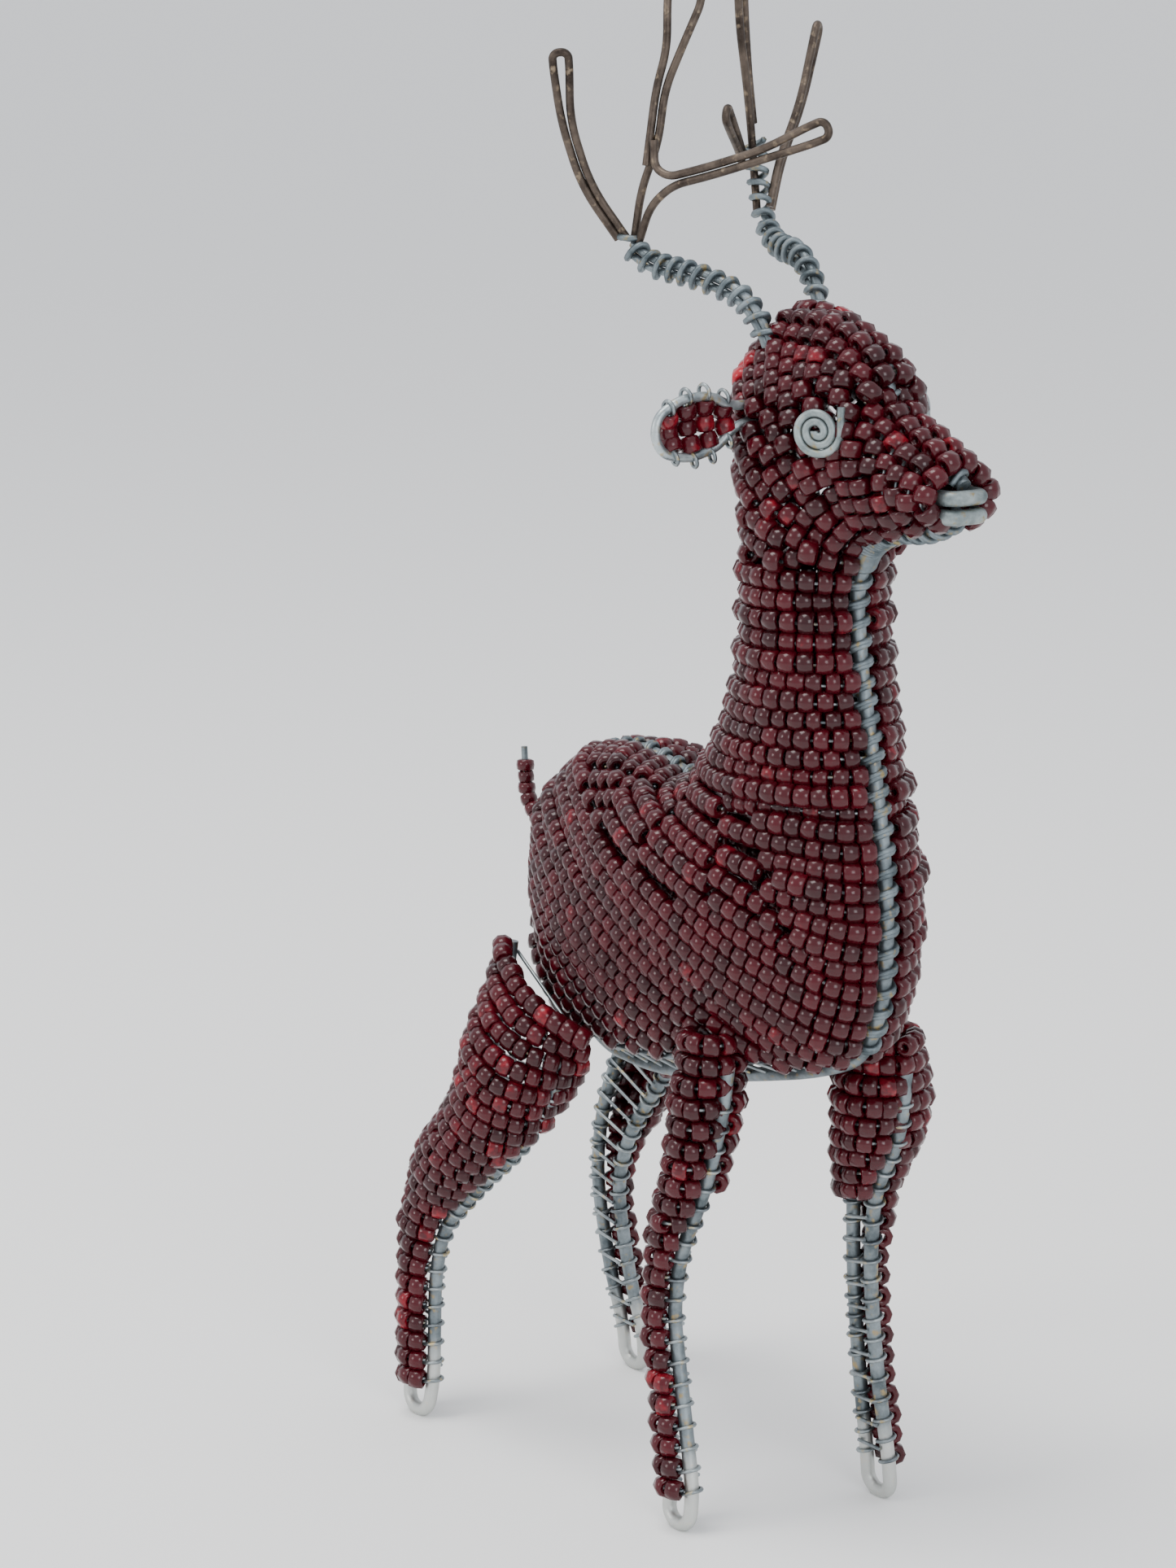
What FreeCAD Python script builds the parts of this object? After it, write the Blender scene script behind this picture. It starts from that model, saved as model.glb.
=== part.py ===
import FreeCAD, Part
import math
import os
from FreeCAD import Vector, Placement, Rotation

# A standing stag made of galvanised wire and glass seed beads.  The stag looks along +X, its right side
# is -Y and up is +Z.  Frame wires draw its outline, and rows of beads on a thin binding wire run from one
# frame wire to the next.  Here each row of beads is one round strand of the beads' own thickness.

os.makedirs("parts", exist_ok=True)
doc = FreeCAD.newDocument("beaded_stag")
sheet = doc.addObject("Spreadsheet::Sheet", "Sizes")

SIZES = [
    ("bead_diameter", 3.0), ("row_pitch", 3.1), ("row_clearance", 0.05),
    ("shortest_row", 2.4), ("sample_pitch", 0.8),
    ("frame_wire", 1.9), ("antler_wire", 1.05), ("binding_wire", 0.5), ("wire_clearance", 0.04),
    ("belly_wire", 0.9), ("leg_row_pitch", 3.1),
    ("leg_height", 60.0), ("body_depth", 39.0), ("body_length", 75.0), ("chest_front", 19.0),
    ("neck_length", 45.0), ("head_length", 40.0),
    ("neck_half_width", 8.7), ("chest_half_width", 12.6), ("rump_half_width", 11.0),
    ("head_half_width", 7.6), ("muzzle_half_width", 4.6), ("belly_gap", 7.5),
    ("front_foot_spread", 28.4), ("hind_foot_spread", 38.5), ("hind_foot_difference", 6.0),
    ("hip_spread", 25.0), ("thigh_blend", 14.0), ("shoulder_spread", 19.0),
    ("foot_flat_depth", 0.15), ("foot_bend_width", 4.6),
    ("eye_wire", 1.0), ("eye_radius", 3.2), ("eye_tail", 3.0), ("nose_wire", 1.9), ("nose_depth", 3.0),
    ("nose_width", 5.0), ("nose_gap", 0.35), ("crown_ring_radius", 2.9), ("beam_turn_pitch", 1.7),
    ("beam_rooted", 8.0),
    ("ear_length", 11.5), ("ear_width", 7.6), ("ear_wire", 1.2), ("ear_bead", 2.6), ("ear_row_pitch", 2.75),
    ("tail_wire", 0.9), ("tail_bead", 2.1), ("tail_length", 13.0), ("tail_tip", 1.8),
]
for row, (alias, value) in enumerate(SIZES, start=1):
    sheet.set("A%d" % row, alias)
    sheet.set("B%d" % row, str(value))
    sheet.setAlias("B%d" % row, alias)
doc.recompute()


def size(alias):
    """The number in the sheet's cell of that name, in millimetres."""
    return float(getattr(sheet, alias))


UP = Vector(0, 0, 1)
RIGHT, LEFT = -1, 1
SIDES = ((RIGHT, "right"), (LEFT, "left"))


# ---- paths -------------------------------------------------------------------------------------------

def rounded_path(points):
    """Straight runs between the points, with a tangent arc at each inner point.

    An arc's radius is 0.45 of its shorter run divided by the tangent of half the turn."""
    edges = []
    start = points[0]
    for before, corner, after in zip(points, points[1:], points[2:]):
        into = (corner - before).normalize()
        out = (after - corner).normalize()
        half_turn = into.getAngle(out) / 2
        reach = 0.45 * min((corner - before).Length, (after - corner).Length)
        arc_start = corner - into * reach
        arc_end = corner + out * reach
        radius = reach / math.tan(half_turn)
        inward = (out - into).normalize()
        centre = corner + inward * (radius / math.cos(half_turn))
        middle = centre - inward * radius
        if (arc_start - start).Length > 1e-6:
            edges.append(Part.LineSegment(start, arc_start).toShape())
        edges.append(Part.Arc(arc_start, middle, arc_end).toShape())
        start = arc_end
    edges.append(Part.LineSegment(start, points[-1]).toShape())
    return Part.Wire(edges)


def along(path, count_or_pitch, start=0.0, end=None):
    """Points and tangents at even steps of about that pitch between two lengths along a path."""
    total = path.Length if end is None else end
    steps = max(1, round((total - start) / count_or_pitch))
    return [frame_at(path, start + (total - start) * i / steps) for i in range(steps + 1)]


def frame_at(path, distance):
    """The point and unit tangent at a distance along a path."""
    left = min(max(distance, 0.0), path.Length - 1e-9)
    for edge in path.OrderedEdges:
        if left <= edge.Length or edge.isSame(path.OrderedEdges[-1]):
            at = edge.getParameterByLength(min(left, edge.Length))
            point = edge.valueAt(at)
            tangent = edge.tangentAt(at)
            return point, tangent
        left -= edge.Length
    return None


def round_bar(path, diameter):
    """A solid round bar whose centre line is the path."""
    first = path.OrderedEdges[0]
    at = first.FirstParameter
    ring = Part.makeCircle(diameter / 2, first.valueAt(at), first.tangentAt(at))
    return path.makePipe(Part.Face(Part.Wire([ring])))


def wrap(point, tangent, wire, turn_of):
    """One closed turn of thin wire around a thicker wire of that diameter, just clear of it."""
    major = wire / 2 + turn_of / 2 + size("wire_clearance")
    return Part.makeTorus(major, turn_of / 2, point, tangent)


# Each bead row stops short of the frame wire by the turn of binding wire around it.
row_end = size("frame_wire") / 2 + size("binding_wire") + 2 * size("wire_clearance")


# ---- putting pieces into the document --------------------------------------------------------------

pieces = []


def add(label, solids):
    """A sub-part of the document from one solid or a list of separate solids."""
    part = doc.addObject("Part::Feature", label)
    part.Label = label
    part.Shape = Part.makeCompound(solids) if isinstance(solids, list) else solids
    part.Placement = Placement()
    pieces.append(part)
    return part


# What the bead rows have to go round: lists of points, each with the least distance a row's line keeps.
in_the_way = []


def keep_clear(path, diameter, above=0.0):
    """Make the bead rows go round a round bar on that path, where it is higher than that."""
    reach = (diameter + size("bead_diameter")) / 2 + size("row_clearance")
    spots = [spot[0] for spot in along(path, size("sample_pitch"))]
    in_the_way.append(([spot for spot in spots if spot.z > above], reach))


# ---- the stag's outline in its middle plane ----------------------------------------------------------
# Body points are shares of the body's length behind the chest and of its depth above the belly; neck
# points are shares of the neck's length above the withers; head points are shares of the head's length
# ahead of the nape and above the head's foot.

def body_point(back, up):
    x = size("chest_front") - back * size("body_length")
    return Vector(x, 0, size("leg_height") + up * size("body_depth"))


def neck_point(ahead, up):
    foot = body_point(0.5, 0.95)
    return foot + Vector(ahead * size("neck_length"), 0, up * size("neck_length"))


def head_point(ahead, up):
    return neck_point(0.0, 0.70) + Vector(ahead * size("head_length"), 0, up * size("head_length"))


top_points = [
    head_point(1.250, 0.280), head_point(1.150, 0.350), head_point(1.020, 0.400), head_point(0.925, 0.475),
    head_point(0.880, 0.595), head_point(0.675, 0.690), head_point(0.445, 0.680), head_point(0.300, 0.590),
    head_point(0.290, 0.380), neck_point(0.325, 0.755), neck_point(0.318, 0.511), neck_point(0.275, 0.289),
    neck_point(0.165, 0.095), body_point(0.496, 0.905), body_point(0.573, 0.940), body_point(0.673, 0.978),
    body_point(0.780, 0.935), body_point(0.865, 0.810), body_point(0.925, 0.660), body_point(0.937, 0.500),
    body_point(0.930, 0.333),
]
bottom_points = [
    head_point(1.243, 0.190), head_point(1.113, 0.128), head_point(0.938, 0.113), head_point(0.825, 0.050),
    head_point(0.765, -0.088), neck_point(0.705, 0.400), neck_point(0.762, 0.156), body_point(0.012, 0.846),
    body_point(-0.001, 0.590), body_point(0.008, 0.346), body_point(0.057, 0.145), body_point(0.187, 0.045),
    body_point(0.413, -0.070), body_point(0.627, -0.140), body_point(0.787, -0.125),
    body_point(0.880, 0.020),
    body_point(0.930, 0.220),
]
top_path = rounded_path(top_points)
bottom_path = rounded_path(bottom_points)


def station(points, path, index):
    """The distance along the path of a whole or part-way index into the points it was made from."""
    runs = [(b - a).Length for a, b in zip(points, points[1:])]
    whole = min(int(index), len(runs) - 1)
    reached = sum(runs[:whole]) + runs[whole] * (index - whole)
    return reached / sum(runs) * path.Length


# ---- legs: a hairpin of frame wire, bead rows bulging outwards, bare rungs inside -------------------------

class Leg:
    """The hairpin's two wires as (x, share of leg height) points, from the top down to the foot bend."""

    def __init__(self, name, side, top_spread, foot_spread, rows_from, rear, front, bulge):
        self.name, self.side, self.bulge = name, side, bulge
        self.rows_from = rows_from * size("leg_height")
        self.top_spread, self.foot_spread = top_spread, foot_spread
        self.rear = [self.point(*spot) for spot in rear]
        self.front = [self.point(*spot) for spot in front]

    def point(self, x, up):
        z = up * size("leg_height")
        y = self.foot_spread + (self.top_spread - self.foot_spread) * up
        return Vector(x, self.side * y / 2, z)

    def wire_path(self):
        """Down the rear wire, round the foot bend and up the front wire."""
        low = size("frame_wire") / 2 - size("foot_flat_depth")
        bend = size("foot_bend_width")
        middle = (self.rear[-1] + self.front[-1]) / 2
        y = self.side * self.foot_spread / 2
        corners = [Vector(middle.x - bend / 2, y, low), Vector(middle.x + bend / 2, y, low)]
        return rounded_path(self.rear + corners + self.front[::-1])

    def row_ends(self):
        """Pairs of points on the rear and front wires, a row pitch apart down the leg."""
        rear = rounded_path(self.rear)
        front = rounded_path(self.front)
        count = int((rear.Length + front.Length) / 2 / size("leg_row_pitch"))
        pairs = []
        for n in range(count + 1):
            pair = (frame_at(rear, rear.Length * n / count), frame_at(front, front.Length * n / count))
            if pair[0][0].z <= self.rows_from:
                pairs.append(pair)
        return pairs

    def row_arc(self, rear_point, front_point):
        """The bowed line of one bead row from wire to wire, and the part of it that the beads take up.

        It bulges by its share of the wires' distance, and less the nearer the row is to the leg's top."""
        chord = front_point - rear_point
        below_top = (self.rear[0].z - rear_point.z) / size("thigh_blend")
        bow = max(chord.Length * self.bulge * min(1.0, 0.3 + below_top), 0.75 * size("bead_diameter"))
        radius = (chord.Length ** 2 / 4 + bow ** 2) / (2 * bow)
        out = Vector(0, self.side, 0)
        out = (out - chord * (out.dot(chord) / chord.Length ** 2)).normalize()
        centre = (rear_point + front_point) / 2 + out * (bow - radius)
        half_angle = math.atan2(chord.Length / 2, radius - bow) - row_end / radius
        axis = chord.normalize()
        spots = []
        for angle in (-half_angle, 0.0, half_angle):
            spots.append(centre + out * (radius * math.cos(angle)) + axis * (radius * math.sin(angle)))
        return Part.Wire([Part.Arc(*spots).toShape()])


LEGS = [
    Leg("front_right", RIGHT, size("shoulder_spread"), size("front_foot_spread"), 1.0,
        [(-6.8, 1.05), (-7.0, 0.95), (-8.1, 0.78), (-11.6, 0.60), (-12.0, 0.47), (-8.7, 0.26), (-6.4, 0.10)],
        [(-0.8, 1.05), (-1.2, 0.95), (-3.3, 0.78), (-7.8, 0.60), (-8.4, 0.47), (-4.7, 0.26),
         (-1.9, 0.10)], 0.5),
    Leg("front_left", LEFT, size("shoulder_spread"), size("front_foot_spread"), 1.0,
        [(2.6, 1.05), (2.1, 0.96), (0.7, 0.76), (-0.4, 0.53), (-0.2, 0.30), (0.6, 0.10)],
        [(12.3, 1.05), (11.6, 0.96), (9.8, 0.86), (4.8, 0.73), (3.0, 0.53), (3.5, 0.30), (5.1, 0.10)], 0.5),
    Leg("hind_right", RIGHT, size("hip_spread"), size("hind_foot_spread"), 1.18,
        [(-46.0, 1.17), (-46.5, 1.00), (-49.5, 0.83), (-58.5, 0.66), (-63.2, 0.50), (-63.0, 0.33),
         (-61.0, 0.10)],
        [(-31.0, 1.03), (-32.8, 0.88), (-38.6, 0.73), (-48.4, 0.59), (-56.0, 0.46), (-57.0, 0.33),
         (-55.2, 0.10)], 0.42),
    Leg("hind_left", LEFT, size("hip_spread"), size("hind_foot_spread") - size("hind_foot_difference"), 1.18,
        [(-48.5, 1.17), (-50.0, 0.97), (-54.0, 0.82), (-59.2, 0.66), (-61.8, 0.47), (-59.8, 0.25),
         (-57.0, 0.10)],
        [(-33.5, 1.03), (-39.0, 0.88), (-46.5, 0.74), (-53.0, 0.61), (-56.8, 0.46), (-55.0, 0.25),
         (-52.2, 0.10)], 0.45),
]

for leg in LEGS:
    path = leg.wire_path()
    hairpin = doc.addObject("Part::Feature", leg.name + "_hairpin")
    hairpin.Shape = round_bar(path, size("frame_wire"))
    file_cut = doc.addObject("Part::Box", leg.name + "_floor")
    file_cut.setExpression("Length", "Sizes.foot_bend_width * 4")
    file_cut.setExpression("Width", "Sizes.frame_wire * 4")
    file_cut.setExpression("Height", "Sizes.frame_wire")
    foot = (leg.rear[-1] + leg.front[-1]) / 2
    corner = foot - Vector(size("foot_bend_width") * 2, size("frame_wire") * 2, 0)
    corner.z = -size("frame_wire")
    file_cut.Placement = Placement(corner, Rotation())
    wire = doc.addObject("Part::Cut", leg.name + "_leg_wire")
    wire.Base = hairpin
    wire.Tool = file_cut
    wire.Label = leg.name + "_leg_wire"
    pieces.append(wire)
    keep_clear(path, size("frame_wire"), size("leg_height") * 0.8)
    beads, rungs, wraps = [], [], []
    beside = (size("frame_wire") + size("binding_wire")) / 2 + size("wire_clearance")
    inward = Vector(0, -leg.side * beside, 0)
    before = None
    for (rear_point, rear_way), (front_point, front_way) in leg.row_ends():
        line = leg.row_arc(rear_point, front_point)
        keep_clear(line, size("bead_diameter"), size("leg_height") * 0.8)
        beads.append(round_bar(line, size("bead_diameter")))
        wraps.append(wrap(rear_point, rear_way, size("frame_wire"), size("binding_wire")))
        wraps.append(wrap(front_point, front_way, size("frame_wire"), size("binding_wire")))
        if before is not None:
            start = (before[0] + rear_point) / 2 + inward
            across = (before[1] + front_point) / 2 + inward - start
            rungs.append(Part.makeCylinder(size("binding_wire") / 2, across.Length, start, across))
        before = (rear_point, front_point)
    add(leg.name + "_leg_beads", beads)
    add(leg.name + "_leg_turns", wraps)
    add(leg.name + "_leg_rungs", rungs)


# ---- antlers: each beam is two wires side by side under a wrapping, each tine a hairpin of wire -----------

head_foot = head_point(0.0, 0.0)


def crown_point(x, y, z):
    """A point of the antlers, ears or eyes, carried along with the head."""
    return Vector(x, y, z) - Vector(-18.5, 0, 128.5) + head_foot


def pair_of(points, across, apart):
    """Two lines, each half of that distance to one side of the points."""
    step = across.normalize() * (apart / 2)
    return [p + step for p in points], [p - step for p in points]


def tine(points, halves, across, before=(), after=()):
    """A hairpin wire: out along the points, round a loop at the tip, and back."""
    way = (points[-1] - points[-2]).normalize()
    step = (across - way * across.dot(way)).normalize()
    out = [p + step * h for p, h in zip(points, halves)]
    back = [p - step * h for p, h in zip(points, halves)]
    tip = points[-1] + way * (2.2 * halves[-1])
    loop = [tip + step * halves[-1], tip - step * halves[-1]]
    return round_bar(rounded_path(list(before) + out + loop + back[::-1] + list(after)), size("antler_wire"))


touch = size("antler_wire") / 2 + size("wire_clearance")
broadside = Vector(0.59, 0.81, 0)
ANTLERS = {
    "right": {
        "beam": [(0.6, -3.6, 148.5), (-0.3, -4.4, 155.3), (-4.0, -5.3, 160.0), (-10.8, -6.9, 162.1),
                 (-18.2, -8.9, 163.2), (-21.4, -9.7, 165.1)],
        "outer": [(-22.3, -10.3, 166.2), (-24.4, -14.5, 172.8), (-24.6, -17.5, 180.9),
                  (-22.7, -19.5, 187.4)],
        "outer_loop": (1.0, 1.0, 1.0, 1.75),
        "top": [(-18.6, -8.3, 178.0), (-18.9, -7.0, 184.8), (-17.4, -6.0, 189.8), (-17.2, -4.5, 195.8),
                (-18.3, -3.7, 199.4)],
        "top_loop": (1.0, 1.0, 1.6, 3.9, 3.2),
        "top_from": [(-21.6, -9.0, 166.1), (-19.9, -9.2, 172.5)], "top_to": [(-18.9, -9.2, 175.4)],
        "inner": [(-15.2, -8.2, 173.6), (-10.4, -6.0, 174.9), (-3.6, -2.5, 177.2), (1.5, 0.6, 179.6)],
        "inner_loop": (1.0, 1.0, 1.0, 1.9),
        "inner_from": [(-17.75, -8.85, 178.6), (-17.7, -8.8, 175.2)],
        "inner_to": [(-18.3, -9.0, 170.4), (-20.2, -9.3, 165.9)],
        "across": broadside,
    },
    "left": {
        "beam": [(0.4, 3.8, 149.5), (-1.0, 4.8, 157.0), (-3.2, 5.2, 161.5), (-7.2, 6.2, 164.6),
                 (-13.6, 7.8, 165.0), (-18.2, 9.0, 168.1)],
        "outer": [(-18.3, 10.3, 169.5), (-19.0, 12.4, 175.6), (-19.4, 16.0, 182.4), (-20.7, 19.3, 190.6)],
        "outer_loop": (1.0, 1.0, 1.0, 1.6),
        "top": [(-20.6, 9.0, 180.0), (-19.8, 7.5, 186.1), (-19.0, 6.0, 192.7), (-17.4, 4.4, 198.4)],
        "top_loop": (1.0, 1.0, 2.2, 2.4),
        "top_from": [(-19.3, 8.9, 169.0), (-21.3, 9.9, 174.4)], "top_to": [],
        "inner": [(-21.6, 8.3, 175.6), (-20.1, 6.5, 177.4), (-17.1, 2.6, 180.7)],
        "inner_loop": (1.0, 1.0, 1.7),
        "inner_from": [], "inner_to": [],
        "across": Vector(0.59, -0.81, 0),
    },
}
for side_name, antler in ANTLERS.items():
    lists = {name: [crown_point(*spot) for spot in spots] for name, spots in antler.items()
             if spots and name not in ("across",) and isinstance(spots[0], tuple)}
    beam = lists["beam"]
    forward = Vector(0.3, 0.2, 0.9)
    bars = [round_bar(rounded_path(line), size("antler_wire")) for line in pair_of(beam, forward, 2 * touch)]
    add("%s_antler_beam" % side_name, bars)
    middle = rounded_path(beam)
    keep_clear(middle, 4 * touch + 2 * size("binding_wire"))
    rings = []
    reach, thin = 2 * touch + size("binding_wire") / 2, size("binding_wire") / 2
    for point, way in along(middle, size("beam_turn_pitch"), size("beam_rooted"), middle.Length - 1.0):
        rings.append(Part.makeTorus(reach, thin, point, way))
    add("%s_antler_wrapping" % side_name, rings)
    for name, across in (("outer", antler["across"]), ("top", antler["across"]), ("inner", UP)):
        halves = [share * touch for share in antler[name + "_loop"]]
        add("%s_antler_%s_tine" % (side_name, name),
            tine(lists[name], halves, across, lists.get(name + "_from", ()), lists.get(name + "_to", ())))


# ---- ears: a leaf of wire with upright bead rows inside ------------------------------------------------

EARS = (
    ("right", (-1.0, -9.4, 145.6), (-1.7, -20.0, 143.9)),
    ("left", (4.0, 7.8, 148.4), (3.4, 17.6, 144.0)),
)
for side_name, root, tip in EARS:
    root = crown_point(*root)
    way = (crown_point(*tip) - root).normalize()
    rise = (UP - way * UP.dot(way)).normalize()
    length, half = size("ear_length"), size("ear_width") / 2
    leaf = [(-0.40, 0.22), (0.0, 0.35), (0.22, 0.85), (0.60, 1.0), (0.92, 0.62), (1.0, 0.0)]
    upper = [root + way * (length * a) + rise * (half * b) for a, b in leaf]
    lower = [root + way * (length * a) - rise * (half * b) for a, b in leaf[-2::-1]]
    ear_path = rounded_path(upper + lower)
    keep_clear(ear_path, size("ear_wire"))
    add("%s_ear_wire" % side_name, round_bar(ear_path, size("ear_wire")))
    rows_in_ear = []
    facing = way.cross(rise)
    for n in range(int((length * 0.86) / size("ear_row_pitch"))):
        share = (n + 0.75) * size("ear_row_pitch") / length
        tall = half * min(1.0, 0.55 + 1.6 * share, 2.2 * (1.12 - share)) - size("ear_wire") / 2 - 0.35
        centre = root + way * (length * share)
        bow = facing * 0.9
        line = Part.Arc(centre - rise * tall, centre + bow, centre + rise * tall).toShape()
        rows_in_ear.append(round_bar(Part.Wire([line]), size("ear_bead")))
    add("%s_ear_beads" % side_name, rows_in_ear)


# ---- rows of beads -----------------------------------------------------------------------------------

class Hoop:
    """Half an oval in the plane of the Y axis and the line from a point on one frame wire to another.

    It is three tangent arcs: a tight one at each end and a wide one between, and lies on one side."""

    def __init__(self, start, end, half_width, side):
        half_length = (end - start).Length / 2
        self.middle = (start + end) / 2
        self.along = (end - start).normalize()
        self.out = Vector(0, side, 0)
        end_radius = half_width * (half_width / half_length) ** 0.6
        if abs(end_radius - half_width) < 0.02 * half_width:
            self.arcs = [(0.0, 0.0, half_width, math.pi, 0.0)]
            self.half = half_width
        else:
            wide = half_length ** 2 + half_width ** 2 - 2 * half_length * end_radius
            wide = wide / (2 * (half_width - end_radius))
            end_centre = half_length - end_radius
            wide_centre = half_width - wide
            lean = math.atan2(-wide_centre, -end_centre) if wide > end_radius else \
                math.atan2(wide_centre, end_centre)
            self.arcs = [
                (-end_centre, 0.0, end_radius, math.pi, lean),
                (0.0, wide_centre, wide, lean, math.pi - lean),
                (end_centre, 0.0, end_radius, math.pi - lean, 0.0),
            ]
        self.length = sum(r * (a - b) for _, _, r, a, b in self.arcs)

    def place(self, along, out):
        return self.middle + self.along * along + self.out * out

    def at(self, distance):
        """The point at a distance from the start."""
        left = distance
        for x, y, radius, first, last in self.arcs:
            if left <= radius * (first - last) or (x, y, radius, first, last) == self.arcs[-1]:
                angle = first - left / radius
                return self.place(x + radius * math.cos(angle), y + radius * math.sin(angle))
            left -= radius * (first - last)
        return None

    def path(self, start, end):
        """The stretch between two distances, as tangent arcs."""
        edges = []
        passed = 0.0
        for x, y, radius, first, last in self.arcs:
            reach = radius * (first - last)
            a = max(start - passed, 0.0)
            b = min(end - passed, reach)
            passed += reach
            if b - a < 0.02:
                continue
            angles = [first - a / radius, first - (a + b) / 2 / radius, first - b / radius]
            spots = [self.place(x + radius * math.cos(t), y + radius * math.sin(t)) for t in angles]
            edges.append(Part.Arc(*spots).toShape())
        return Part.Wire(edges)


def clear_stretches(hoop, start, end, neighbours):
    """The stretches of a hoop on which a row is clear of the rows beside it and of the wires in its way."""
    step = size("sample_pitch") / 2
    reach = size("bead_diameter") + size("row_clearance")
    near = [(row, reach) for row in neighbours]
    for spots, room in in_the_way:
        close = [spot for spot in spots if (spot - hoop.middle).Length < hoop.length / 2 + room]
        near.append((close, room))
    found = []
    low = None
    count = int((end - start) / step)
    for i in range(count + 1):
        distance = start + i * step
        spot = hoop.at(distance)
        if not any((spot - other).Length < room for spots, room in near for other in spots):
            low = distance if low is None else low
            high = distance
            if i < count:
                continue
        if low is not None and high - low > size("shortest_row"):
            found.append((low, high))
        low = None
    return found


# A key row: its place on the top wire, its place on the bottom wire (indexes into the outline's points),
# its half width, and the region of beads that starts there.
KEY_ROWS = [
    (0.80, 0.60, "muzzle_half_width", 1.00, "muzzle"),
    (3.60, 2.30, "head_half_width", 0.72, "head"),
    (6.20, 3.05, "head_half_width", 1.00, "head"),
    (9.18, 3.36, "neck_half_width", 0.98, "neck"),
    (10.60, 5.14, "neck_half_width", 1.00, "neck"),
    (12.48, 6.55, "neck_half_width", 1.17, "shoulder"),
    (13.22, 7.50, "chest_half_width", 1.00, "shoulder"),
    (14.93, 8.53, "chest_half_width", 1.06, "flank"),
    (16.88, 10.28, "rump_half_width", 1.12, "belly"),
    (20.00, 14.25, "rump_half_width", 0.55, "end"),
]


def through(values, position):
    """A smooth curve through the values at 0, 1, 2 and so on (Catmull-Rom)."""
    i = min(int(position), len(values) - 2)
    t = position - i
    p1, p2 = values[i], values[i + 1]
    p0 = values[i - 1] if i > 0 else 2 * p1 - p2
    p3 = values[i + 2] if i + 2 < len(values) else 2 * p2 - p1
    bend = (2 * p0 - 5 * p1 + 4 * p2 - p3) * t * t + (3 * p1 - p0 - 3 * p2 + p3) * t ** 3
    return p1 + ((p2 - p0) * t + bend) / 2


key_tops = [station(top_points, top_path, key[0]) for key in KEY_ROWS]
key_bottoms = [station(bottom_points, bottom_path, key[1]) for key in KEY_ROWS]
key_widths = [size(key[2]) * key[3] for key in KEY_ROWS]

brisket = station(bottom_points, bottom_path, 10.0)

# One entry a row: key position, distance on the top wire, distance on the bottom wire, half width, region.
rows = []
for i, key in enumerate(KEY_ROWS[:-1]):
    stretch = max(key_tops[i + 1] - key_tops[i], key_bottoms[i + 1] - key_bottoms[i])
    count = max(1, int(stretch / size("row_pitch")))
    for n in range(count):
        share = n / count
        top = key_tops[i] + share * (key_tops[i + 1] - key_tops[i])
        bottom = key_bottoms[i] + share * (key_bottoms[i + 1] - key_bottoms[i])
        rows.append((top, bottom, through(key_widths, i + share), key[4]))


def belly_stop(bottom):
    """How far short of the middle belly wire a row ends, which grows from nothing behind the brisket."""
    return size("belly_gap") * min(1.0, max(0.0, (bottom - brisket) / size("belly_gap")))


strands = {}
row_feet = {}
for side, side_name in SIDES:
    placed = []
    for top, bottom, half_width, region in rows:
        start = frame_at(top_path, top)[0]
        end = frame_at(bottom_path, bottom)[0]
        hoop = Hoop(start, end, half_width, side)
        last = hoop.length - max(row_end, belly_stop(bottom) + row_end)
        stretches = clear_stretches(hoop, row_end, last, placed[-9:])
        if bottom > brisket:
            row_feet.setdefault(side_name, []).append((hoop.at(hoop.length - belly_stop(bottom)), end))
        placed.append([])
        for low, high in stretches:
            steps = int((high - low) / size("sample_pitch"))
            placed[-1].extend([hoop.at(low + (high - low) * n / steps) for n in range(steps + 1)])
            bar = round_bar(hoop.path(low, high), size("bead_diameter"))
            strands.setdefault("%s_%s_beads" % (side_name, region), []).append(bar)
for label, solids in strands.items():
    add(label, solids)

add("nape_and_spine_wire", round_bar(top_path, size("frame_wire")))
add("throat_and_belly_wire", round_bar(bottom_path, size("frame_wire")))


# ---- turns of binding wire round the outline wires -------------------------------------------------------

def turns(path, distances, wire):
    """Turns of binding wire around a wire at those distances along it."""
    return [wrap(*frame_at(path, distance), wire, size("binding_wire")) for distance in distances]


def spread(distances, path):
    """The distances that leave room for a turn of binding wire beside the one before."""
    room = size("binding_wire") + size("wire_clearance")
    kept = []
    for distance in sorted(distances):
        if room < distance < path.Length - room and (not kept or distance - kept[-1] >= room):
            kept.append(distance)
    return kept


add("spine_wire_turns", turns(top_path, spread([row[0] for row in rows], top_path), size("frame_wire")))
chest_places = spread([row[1] for row in rows], bottom_path)
add("chest_seam_turns", turns(bottom_path, chest_places, size("frame_wire")))


# ---- belly: a wire along each side, where the rows end, and bare rungs across to the middle wire --------

for side_name, feet in row_feet.items():
    feet = [pair for pair in feet if (pair[0] - pair[1]).Length > size("belly_gap") * 0.6]
    route = [feet[n][0] for n in range(0, len(feet) - 1, 3)] + [feet[-1][0]]
    side_path = rounded_path(route)
    add("%s_belly_wire" % side_name, round_bar(side_path, size("belly_wire")))
    rungs = []
    for n in range(1, len(feet) - 1):
        middle_point = feet[n][1]
        near = min(along(side_path, 0.5), key=lambda spot: (spot[0] - middle_point).Length)[0]
        direction = (middle_point - near).normalize()
        start = near + direction * (size("belly_wire") / 2 + size("wire_clearance"))
        end = middle_point - direction * (size("frame_wire") / 2 + size("wire_clearance"))
        bar = Part.makeCylinder(size("binding_wire") / 2, (end - start).Length, start, direction)
        if not rungs or bar.distToShape(rungs[-1])[0] > size("wire_clearance"):
            rungs.append(bar)
    add("%s_belly_rungs" % side_name, rungs)


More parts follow.
